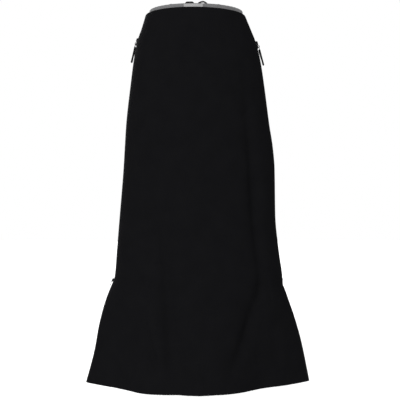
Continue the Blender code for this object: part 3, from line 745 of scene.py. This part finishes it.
def edge_guide(side, panel, drops):
    """A guide beside a panel's edge at one side."""
    starts = (side == "left") == (panel == "front")
    places = []
    for drop in drops:
        first, last = panel_edges(panel, drop)
        places.append((drop, first + ZIP_STITCHED if starts else last - ZIP_STITCHED))
    return cloth_guide(panel, places)


def thread_finish(name, colours):
    """Polyester thread of fine plies."""
    return grained(name, colours, (2600,), None, 1, (0.55, 0.2, 0), 0.00005, Specular_IOR_Level=0.04)


black_thread = thread_finish("black thread", [(0.0016, 0.0018), (0.0040, 0.0044)])
for number, panel in enumerate(PANELS):
    guides = [level_guide(panel, TOP_STITCHED), level_guide(panel, LENGTH - HEM_STITCHED)]
    for side in SIDES:
        top, foot = HIP_ZIP[side]
        guides.append(edge_guide(side, panel, np.linspace(top - 0.004, foot + 0.004, 40)))
        guides.append(edge_guide(side, panel, np.linspace(VENT_TOP - 0.010, LENGTH - 0.002, 60)))
    name = f"{panel}_stitches"
    stitches = lay_parts(name, guides, black_thread, STITCH_PITCH, STITCH_SIZE, 0.0, 0.05, number)
    add_piece(stitches, None)

# The blank patch: a pale piece of close woven ribbon on the front of the waistband, folded under all round
# and sewn down along its edges.

Patch = namedtuple("Patch", "left right top foot")
PATCH = Patch(-0.0285, 0.0205, 0.0108, -0.0120)
PATCH_THICK = 0.0007
PATCH_GRID = (66, 30)
PATCH_BORDER = 0.0014  # from its edges in to its stitches
PATCH_PITCH, PATCH_STITCH = 0.0019, (0.0015, 0.00032, 0.00032)


def patch_finish():
    """Pale satin ribbon: close cross ribs with a soft lustre."""
    finish, tree, shader = new_finish("blank patch", Specular_IOR_Level=0.3, Sheen_Weight=0.1)
    places, along, down = on_uv(tree)
    ribs, picks, clouds = waves(along, 0.0007), waves(down, 0.0005), cloudy(tree, places, 120)
    share = 0.3 * ribs + 0.2 * picks + 0.5 * clouds
    coat(tree, shader, share, [(0.12, 0.12), (0.19, 0.19)], 0.5 + 0.2 * clouds, ribs * picks, 0.00006)
    return finish


def patch_mesh():
    columns, rows = PATCH_GRID
    left, right, top, foot = PATCH
    places, heights = np.linspace(left, right, columns), np.linspace(top, foot, rows)
    grid = []
    for height in heights:
        row = []
        for across in places:
            edge = min(across - left, right - across, top - height, height - foot)
            hem = 0.00025 * (1 - eased((edge - 0.0022) / 0.0008))
            sewn = -0.00020 * math.exp(-(((edge - PATCH_BORDER) / 0.0004) ** 2))
            rolled = -0.0003 * (1 - eased(edge / 0.0005))
            puffed = 0.0001 * math.sin(260 * across + 1.3) * math.sin(300 * height)
            row.append(on_band(across, height, GAP + PATCH_THICK + hem + sewn + rolled + puffed))
        grid.append(np.array(row))
    return surface_mesh("patch_ribbon", grid, (np.tile(places, (rows, 1)), heights))


patch = add_piece(
    patch_mesh(), patch_finish(), "waistband_patch", thickness=PATCH_THICK
)
left, right = PATCH.left + PATCH_BORDER, PATCH.right - PATCH_BORDER
top, foot = PATCH.top - PATCH_BORDER, PATCH.foot + PATCH_BORDER
border = [(left, top), (right, top), (right, foot), (left, foot)]
guides = []
for start, end in zip(border, border[1:] + border[:1]):
    guide = []
    for place in np.linspace(start, end, 16):
        point = on_band(*place, GAP + PATCH_THICK + 0.00012)
        guide.append((tuple(point), tuple(on_band(*place, 1.0) - on_band(*place, 0.0))))
    guides.append(guide)
pale_thread = thread_finish("pale thread", [(0.10, 0.10), (0.17, 0.17)])
stitches = lay_parts("patch_stitches", guides, pale_thread, PATCH_PITCH, PATCH_STITCH, 0.0, 0.04, 5)
add_piece(stitches, None)

# Two hanger loops of narrow black ribbon, sewn to the inside of the waistband. Each is a strip bent into an
# upright loop, and only its top shows over the band.

Loop = namedtuple("Loop", "side left right top peak peak_rise")
LOOPS = [
    Loop("left", -0.0260, -0.0020, 0.0172, -0.0130, 0.0000),
    Loop("right", 0.0070, 0.0330, 0.0165, 0.0212, 0.0025),
]
LOOP_FOOT = -0.014
LOOP_OUT = -0.00225 - GAP  # the ribbon's middle, behind the band's outer face
RIBBON_WIDTH, RIBBON_THICK, RIBBON_BEND = 0.0042, 0.0008, 0.0040


def rounded(outline, radius, steps=4):
    """The corners of a closed outline rounded off, or only as far as its sides allow."""
    found = []
    for number, corner in enumerate(outline):
        corner = Vector(corner)
        before, after = Vector(outline[number - 1]), Vector(outline[(number + 1) % len(outline)])
        cut = min(radius, 0.48 * (before - corner).length, 0.48 * (after - corner).length)
        start = corner + (before - corner).normalized() * cut
        end = corner + (after - corner).normalized() * cut
        for step in range(steps + 1):
            part = step / steps
            found.append(tuple(start * (1 - part) ** 2 + corner * 2 * part * (1 - part) + end * part**2))
    return found


def oblong(half, low, high):
    """The corners of a rectangle between two heights."""
    return [(-half, low), (half, low), (half, high), (-half, high)]


def arch(left, right, top, bend, steps):
    """The two bends of a flat path that goes up at the left and down at the right."""
    swings = np.linspace(0, math.pi / 2, steps)
    bends = [(bend * (1 - math.cos(swing)), top - bend * (1 - math.sin(swing))) for swing in swings]
    rising = [(left + across, height) for across, height in bends]
    return rising, [(right - across, height) for across, height in reversed(bends)]


def ways_along(path):
    """The way on at each point of a flat path, as unit vectors."""
    ends = zip([path[0]] + path[:-1], path[1:] + [path[-1]])
    return [(Vector(after) - Vector(before)).normalized() for before, after in ends]


def closed(mesh, close, sharp):
    """The mesh closed in one way, with its faces outward and its edges over an angle left sharp."""
    body = bmesh.new()
    body.from_mesh(mesh)
    close(body)
    bmesh.ops.recalc_face_normals(body, faces=body.faces)
    body.to_mesh(mesh)
    body.free()
    mesh.shade_smooth()
    mesh.set_sharp_from_angle(angle=math.radians(sharp))
    return mesh


def fill_ends(body):
    bmesh.ops.holes_fill(body, edges=[edge for edge in body.edges if edge.is_boundary])


def solid_mesh(name, rings):
    """A closed solid through rings of points, with its UV map in metres round and along it."""
    rings = np.array([[tuple(point) for point in ring] for ring in rings])
    round_it = np.linalg.norm(np.diff(rings, axis=1), axis=2)
    round_it = np.concatenate([np.zeros((len(rings), 1)), np.cumsum(round_it, axis=1)], axis=1)
    middles = rings.mean(axis=1)
    along = np.concatenate([[0], np.cumsum(np.linalg.norm(np.diff(middles, axis=0), axis=1))])
    return closed(surface_mesh(name, list(rings), (round_it, along), closed=True), fill_ends, 40)


def ribbon_finish():
    """Black grosgrain: fine ribs across the ribbon, with a slight lustre."""
    finish, tree, shader = new_finish("black ribbon", Specular_IOR_Level=0.05)
    places, _, along = on_uv(tree)
    ribs, clouds = waves(along, 0.0006), cloudy(tree, places, 300)
    colours = [(0.0020, 0.0023), (0.0058, 0.0063)]
    coat(tree, shader, 0.5 * ribs + 0.5 * clouds, colours, 0.5 + 0.15 * clouds, ribs, 0.00008)
    return finish


def loop_mesh(loop):
    half, bend = RIBBON_WIDTH / 2, RIBBON_BEND
    left, right, top = loop.left + half, loop.right - half, loop.top - half
    rising, falling = arch(left, right, top, bend, 9)
    leg = np.linspace(LOOP_FOOT, top - bend, 8)
    path = [(left, height) for height in leg[:-1]] + rising
    for across in np.linspace(left + bend, right - bend, 12)[1:-1]:
        away = abs(across - loop.peak) / (right - loop.peak if across > loop.peak else loop.peak - left)
        path.append((across, top + loop.peak_rise * (1 - eased(away))))
    path += falling + [(right, height) for height in leg[-2::-1]]
    section = rounded(oblong(half, -RIBBON_THICK / 2, RIBBON_THICK / 2), 0.0003, 2)
    rings = []
    for (across, height), way in zip(path, ways_along(path)):
        places = [(across - aside * way.y, height + aside * way.x, LOOP_OUT + out) for aside, out in section]
        rings.append([on_band(*place) for place in places])
    return solid_mesh(f"hanger_loop_{loop.side}", rings)


black_ribbon = ribbon_finish()
for loop in LOOPS:
    add_piece(loop_mesh(loop), black_ribbon, f"ribbon_loop_{loop.side}")

# The hip zips: closed coil zips in the side seams. Two black woven tapes lie under the folded edges of the
# cloth, with the two rows of nylon coil meeting between them. A folded tape end, barred with close stitches,
# covers the head of each.

ZIP_SINKS = 0.0006
TAPE = 0.0008
TAPE_HIDDEN, TAPE_DIP = [0.0011, 0.0065], 0.0032  # places past an end that shows, and how deep they lie
HIP_TAPE = [(0.0, -0.0006), (0.0012, -0.0006), (0.0022, -0.0006), (0.0029, -0.0007)]  # aside, out
HIP_TAPE += [(0.0033, -0.0014), (0.0037, -0.0022), (0.0090, -0.0022)]  # below the cloth
COIL_PITCH, COIL_SIZE, COIL_ASIDE, COIL_LEAN = 0.00125, (0.00098, 0.0021, 0.0014), 0.00062, 0.16
STOP = {"height": 0.0090, "width": 0.0120, "thick": 0.0052, "crest": 0.0076, "side": 0.0022}
BAR_TACKS = (0.16, 0.84)  # shares of the folded tape end's height
SLIDER_LENGTH = 0.0096
HIP_SLIDER_DROP = {"left": 0.073, "right": 0.081}


def tape_finish():
    """Black polyester zip tape in a fine herringbone."""
    finish, tree, shader = new_finish("zip tape", Specular_IOR_Level=0.03)
    places, along, down = on_uv(tree)
    chevron = abs((along * (math.tau / 0.0030)).sine())
    twill = 0.5 + 0.5 * ((down * (math.tau / 0.0007)) + 3.0 * chevron).sine()
    clouds = cloudy(tree, places, 250)
    colours = [(0.0018, 0.0021), (0.0046, 0.0051)]
    coat(tree, shader, 0.6 * twill + 0.4 * clouds, colours, 0.62 + 0.12 * clouds, twill, 0.00008)
    return finish


black_tape = tape_finish()
# The coil: black nylon monofilament, smooth and a little glossy.
NYLON = [(0.0024, 0.0027), (0.0056, 0.0061)]
nylon = grained("nylon coil", NYLON, (900,), None, 1, (0.26, 0.14, 0), 0.00003, Specular_IOR_Level=0.12)


def add_tape(name, side, profile, shows, count, below, replaced):
    """A zip tape down a side seam, through places across it from its back edge to its front one.

    It dips under the cloth above and below the two drops between which it shows.
    """
    above, below = shows[0] - np.array(TAPE_HIDDEN[::-1]), shows[1] + np.array(below)
    drops = np.concatenate([above, np.linspace(*shows, count), below])
    grid = []
    for drop in drops:
        dip = 0.0 if shows[0] <= drop <= shows[1] else TAPE_DIP
        grid.append(np.array([by_seam(side, drop, aside, out - dip) for aside, out in profile]))
    across = [aside for aside, _ in profile]
    mesh = surface_mesh(name, grid, (np.tile(across, (len(drops), 1)), -drops))
    if side == "right":
        mesh.flip_normals()
    add_piece(mesh, black_tape, replaced, thickness=TAPE)


def seam_guide(side, places):
    """A guide by a side seam, through drops, distances to the front and distances out of the cloth."""
    guide = []
    for drop, to_front, out in places:
        way = by_seam(side, drop, to_front, 1.0) - by_seam(side, drop, to_front, 0.0)
        guide.append((tuple(by_seam(side, drop, to_front, out)), tuple(way)))
    return guide


def end_height(aside, part):
    """How far a folded tape end stands out of the cloth, at shares of its half-width and of its height."""
    swell = 1 - abs(2 * part - 1) ** 12
    crest = STOP["crest"] / STOP["width"]
    crown = 1 - eased((abs(aside) - 0.85 * crest) / (1 - 0.85 * crest))
    seam = 0.0003 * math.exp(-(((abs(aside) - 0.78) / 0.07) ** 2))
    rim = STOP["side"] - 0.0003 - 0.0008 * eased((abs(aside) - 0.93) / 0.07)
    return rim + (STOP["thick"] - STOP["side"] + 0.0003) * crown * (0.3 + 0.7 * swell) - seam


for side in SIDES:
    top, foot = HIP_ZIP[side]
    profile = [(-aside, out) for aside, out in reversed(HIP_TAPE[1:])] + HIP_TAPE
    shows = (top - 0.0005, foot + 0.0005)
    add_tape(f"hip_zip_tapes_{side}", side, profile, shows, 42, TAPE_HIDDEN, f"hip_zip_{side}")
    guides = []
    for sign in (1, -1):
        start = top + 0.001 + (0.5 * COIL_PITCH if sign > 0 else 0.0)
        drops = np.linspace(start, start + COIL_PITCH * 124, 60)
        guides.append(seam_guide(side, [(drop, sign * COIL_ASIDE, 0.0002 - ZIP_SINKS) for drop in drops]))
    coil = lay_parts(f"hip_zip_coil_{side}", guides, nylon, COIL_PITCH, COIL_SIZE, COIL_LEAN)
    add_piece(coil, None)

    foot = HIP_SLIDER_DROP[side] - SLIDER_LENGTH / 2 - 3 * GAP
    rings = []
    for part in 0.5 - 0.5 * np.cos(np.linspace(0, math.pi, 16)):
        drop = foot - STOP["height"] * (1 - part)
        ring = [(aside, end_height(aside, part)) for aside in np.linspace(1, -1, 25)]
        ring = [(1.0, 0.0008), *ring, (-1.0, 0.0008)]
        rings.append([by_seam(side, drop, aside * STOP["width"] / 2, out) for aside, out in ring])
    add_piece(solid_mesh(f"hip_zip_end_{side}", rings), black_ribbon, f"hip_stop_{side}")
    guides = []
    for part in BAR_TACKS:
        drop = foot - STOP["height"] * (1 - part)
        places = []
        for aside in np.linspace(-BAR_HALF, BAR_HALF, 12):
            places.append((drop, aside, end_height(2 * aside / STOP["width"], part) - 0.00005))
        guides.append(seam_guide(side, places))
    tacks = lay_parts(f"hip_zip_bars_{side}", guides, black_thread, BAR_PITCH, BAR_SIZE, 0.3, 0.2, 7)
    add_piece(tacks, None)

# The vent zips, undone from their sliders at the knee down to the hem: a black tape along each edge of the
# cloth, sewn under its fold, with one row of nylon coil along the tape's rim.

VENT_RIM = [(0.00015, -0.0002), (0.0005, 0.0), (0.0016, 0.0), (0.0030, 0.0), (0.0046, 0.0)]  # aside, out
VENT_RIM += [(0.0056, -0.0002), (0.0061, -0.0014), (0.0065, -0.0022), (0.0120, -0.0022)]  # below the cloth
VENT_COIL = (0.00115, 0.0001)
for side in SIDES:
    for panel, sign in (("front", 1), ("back", -1)):
        profile = VENT_RIM if sign > 0 else [(-aside, out) for aside, out in reversed(VENT_RIM)]
        shows = (VENT_TOP - VENT_HEAD, LENGTH - 0.0002)
        place = f"{panel}_{side}"
        add_tape(f"vent_zip_tape_{place}", side, profile, shows, 70, [], f"vent_tape_{place}")
        drops = np.linspace(shows[0] + 0.001, LENGTH - 0.004, 90)
        guide = seam_guide(side, [(drop, sign * VENT_COIL[0], VENT_COIL[1]) for drop in drops])
        lean = COIL_LEAN * sign
        coil = lay_parts(f"vent_zip_coil_{place}", [guide], nylon, COIL_PITCH, COIL_SIZE, lean)
        add_piece(coil, None)

# The sliders: small die-cast bodies shaped like shields and lacquered black, which clasp the coils from both
# sides, each with a bridge that its pull hangs from. All four are run up to the top of their zips.

SLIDER = {"nose": 0.0048, "shoulder": 0.0080, "waist": 0.0062, "low": 0.0009, "high": 0.0034}
BRIDGE = {"width": 0.0018, "bar": 0.0011, "top": 0.0036, "foot": -0.0032, "low": 0.0026, "bend": 0.0014}
Pull = namedtuple("Pull", "hinge bridge thick")  # the axis it turns on, its bridge's top, its tab's thickness
PULLS = {"hip": Pull(0.0049, 0.0071, 0.0012), "vent": Pull(0.0041, 0.0059, 0.0009)}
VENT_SLIDER_DROP = VENT_TOP + 0.004
HIP_REACH, VENT_REACH = {"left": (0.006, 0.006), "right": (0.003, 0.020)}, (0.010, 0.012)
VENT_LIFT = {"left": 0.0008, "right": 0.0018}


def slider_frame(side, drop, reach, lift=0.0):
    """Axes of a slider: across the zip, out of the cloth and up along the zip, from its place on the seam."""
    above, below = reach
    up = (by_seam(side, drop - above, 0.0) - by_seam(side, drop + below, 0.0)).normalized()
    out = by_seam(side, drop, 0.0, 1.0) - by_seam(side, drop, 0.0)
    across = out.cross(up).normalized()
    out = up.cross(across)
    made = Matrix((across, out, up)).transposed().to_4x4()
    made.translation = by_seam(side, drop, 0.0) + out * lift
    return made


def weld(body):
    bmesh.ops.remove_doubles(body, verts=body.verts, dist=1e-6)


def plate_mesh(name, outlines, low, high, edge, axes):
    """A plate with rounded edges between two distances out of the cloth, cut to an outline less its holes."""
    curve = bpy.data.curves.new(name, "CURVE")
    curve.dimensions = "2D"
    curve.fill_mode = "BOTH"
    curve.extrude = (high - low) / 2 - edge
    curve.bevel_depth = edge
    curve.bevel_resolution = 2
    curve.offset = -edge
    for outline in outlines:
        line = curve.splines.new("POLY")
        line.points.add(len(outline) - 1)
        for point, (across, up) in zip(line.points, outline):
            point.co = (across, up, 0.0, 1.0)
        line.use_cyclic_u = True
    mesh = plain_mesh(name, placed(name, curve))
    bpy.data.curves.remove(curve)
    middle = (low + high) / 2
    mesh.transform(axes @ Matrix(((1, 0, 0, 0), (0, 0, -1, middle), (0, 1, 0, 0), (0, 0, 0, 1))))
    return closed(mesh, weld, 35)


def mirrored(half):
    """A closed outline from the half of it at the right."""
    return half + [(-across, up) for across, up in reversed(half)]


def joined(name, meshes):
    """Several meshes as one."""
    body = bmesh.new()
    for mesh in meshes:
        body.from_mesh(mesh)
    made = bpy.data.meshes.new(name)
    body.to_mesh(made)
    body.free()
    made.shade_smooth()
    made.set_sharp_from_angle(angle=math.radians(35))
    return made


def slider_mesh(name, axes, pull):
    """Two shield-shaped plates with a crowned face and side flanges, and the bridge over them."""
    end = SLIDER_LENGTH / 2
    nose, shoulder, waist = SLIDER["nose"] / 2, SLIDER["shoulder"] / 2, SLIDER["waist"] / 2
    shield = rounded(mirrored([(waist, -end), (waist, 0.0), (shoulder, end / 2), (nose, end)]), 0.0018, 5)
    crown, flange, inside = (
        [(across * share, up * share) for across, up in shield] for share in (0.88, 0.96, 0.74)
    )
    low, high = SLIDER["low"], SLIDER["high"]
    plates = [
        plate_mesh(f"{name}_face", [shield], low, high - 0.0005, 0.0006, axes),
        plate_mesh(f"{name}_crown", [crown], high - 0.0012, high, 0.0005, axes),
        plate_mesh(f"{name}_flanges", [flange, inside], -0.0004, low + 0.0004, 0.0001, axes),
        plate_mesh(f"{name}_back", [crown], -0.0036, -0.0025, 0.0004, axes),
    ]
    bar, top, foot = BRIDGE["bar"] / 2, BRIDGE["top"], BRIDGE["foot"]
    rising, falling = arch(foot + bar, top - bar, pull.bridge - bar, BRIDGE["bend"], 7)
    path = [(foot + bar, BRIDGE["low"]), *rising, *falling, (top - bar, BRIDGE["low"])]
    section = rounded(oblong(BRIDGE["width"] / 2, -bar, bar), 0.0005, 3)
    rings = []
    for (up, out), way in zip(path, ways_along(path)):
        places = [(across, out + lift * way.x, up - lift * way.y) for across, lift in section]
        rings.append([axes @ Vector(place) for place in places])
    return joined(name, plates + [solid_mesh(f"{name}_bridge", rings)])


# Black baked lacquer over cast zinc, faintly mottled and dulled in patches by handling.
LACQUER = [(0.0014, 0.0016), (0.0050, 0.0054)]
lacquer = grained(
    "lacquered slider", LACQUER, (1800,), (260, 3.0), 0.4, (0.32, 0, 0.25), 0.00003, Specular_IOR_Level=0.10
)
slider_axes = {}
for side in SIDES:
    slider_axes["hip", side] = slider_frame(side, HIP_SLIDER_DROP[side], HIP_REACH[side])
    slider_axes["vent", side] = slider_frame(side, VENT_SLIDER_DROP, VENT_REACH, VENT_LIFT[side])
for (place, side), axes in slider_axes.items():
    slider = slider_mesh(f"{place}_zip_slider_{side}", axes, PULLS[place])
    add_piece(slider, lacquer, f"{place}_slider_{side}")

# The pulls: flat tabs of dark plated metal with a window that the bridge passes through. The hip ones carry a
# long grip of matt black plastic moulded round their tongue, and the vent ones are short and bare.

TAB = {"width": 0.0058, "window": 0.0027, "window_end": 0.0050, "shoulder": 0.0066, "edge": 0.00025}
TONGUE = {"width": 0.0028, "end": 0.0125}
SHORT_TAB = {"waist": 0.0044, "foot": 0.0056, "tip": 0.0034, "end": 0.0165}
Station = namedtuple("Station", "along width thick shift")
GRIP = [  # by the distance from the hinge; `shift` is towards the cloth
    Station(0.0080, 0.0046, 0.0034, 0.0004),
    Station(0.0096, 0.0062, 0.0056, 0.0012),
    Station(0.0160, 0.0060, 0.0058, 0.0013),
    Station(0.0260, 0.0060, 0.0054, 0.0012),
    Station(0.0390, 0.0062, 0.0046, 0.0008),
    Station(0.0455, 0.0072, 0.0048, 0.0008),
    Station(0.0505, 0.0070, 0.0048, 0.0008),
    Station(0.0525, 0.0050, 0.0030, 0.0006),
]
GRIP_SIDES, GRIP_RINGS, GRIP_ROUNDNESS = 40, 60, 0.6
PARTING = 0.00008


def tab_mesh(name, axes, pull, lower):
    wide, window, thick = TAB["width"] / 2, TAB["window"] / 2, pull.thick / 2
    end = TAB["window_end"]
    outline = rounded(mirrored([(wide, thick), (wide, -end), *lower]), 0.0011, 5)
    hole = rounded(oblong(window, -thick, -end), 0.0006, 4)
    return plate_mesh(name, [outline, hole], pull.hinge - thick, pull.hinge + thick, TAB["edge"], axes)


def grip_mesh(name, axes, pull):
    """The moulded grip, swelling at both ends, with the mould's parting line down its sides."""
    along, *measures = zip(*GRIP)
    curves = [smooth_curve(along, values) for values in measures]
    head, foot = along[0] + np.array([0, 0.0002, 0.0006]), along[-1] - np.array([0.0004, 0.0001, 0.0])
    rings = []
    for place in np.concatenate([head, np.linspace(0.0090, 0.0518, GRIP_RINGS), foot]):
        width, thick, shift = (curve(place) for curve in curves)
        nearest = min(place - along[0], along[-1] - place)
        inset = 0.0005 * (1 - math.sqrt(1 - (1 - min(nearest / 0.0006, 1.0)) ** 2))
        ring = []
        for number in range(GRIP_SIDES):
            turn = math.tau * (number + 0.5) / GRIP_SIDES
            cosine, sine = math.cos(turn), math.sin(turn)
            ridge = PARTING * math.exp(-((sine / 0.12) ** 2))
            across = math.copysign(abs(cosine) ** GRIP_ROUNDNESS * (width / 2 - inset) + ridge, cosine)
            out = pull.hinge - shift + math.copysign(abs(sine) ** GRIP_ROUNDNESS, sine) * (thick / 2 - inset)
            ring.append(axes @ Vector((across, out, -place)))
        rings.append(ring)
    return solid_mesh(name, rings)


# Zinc alloy, tumbled and plated a dark grey, with fine scuffs.
PLATED = [(0.018, 0.019), (0.060, 0.062)]
scuffed = (1500, 3.0, (1.0, 1.0, 0.15))
tab_metal = grained("pull tab metal", PLATED, scuffed, (350,), 0.5, (0.24, 0.2, 0), 0.00002, Metallic=1.0)
# Matt black moulded plastic with a fine spark-eroded grain, worn smoother in places.
PLASTIC = [(0.0014, 0.0016), (0.0036, 0.0040)]
moulded = grained(
    "moulded grip", PLASTIC, (3200,), (180,), 0.4, (0.55, 0.08, 0.2), 0.00004, Specular_IOR_Level=0.03
)
tongue, shoulder = TONGUE["width"] / 2, -TAB["shoulder"]
waist, foot, tip, end = SHORT_TAB["waist"] / 2, SHORT_TAB["foot"] / 2, SHORT_TAB["tip"] / 2, SHORT_TAB["end"]
LOWER = {
    "hip": [(tongue, shoulder), (tongue, -TONGUE["end"])],
    "vent": [(waist, shoulder - waist), (foot, foot - end), (tip, -end)],
}
for (place, side), axes in slider_axes.items():
    body = f"{place}_pull_{side}"
    tab = tab_mesh(f"{place}_zip_tab_{side}", axes, PULLS[place], LOWER[place])
    add_piece(tab, tab_metal, f"{place}_tab_{side}", body)
    if place == "hip":
        grip = grip_mesh(f"hip_zip_grip_{side}", axes, PULLS[place])
        add_piece(grip, moulded, f"hip_grip_{side}", body)
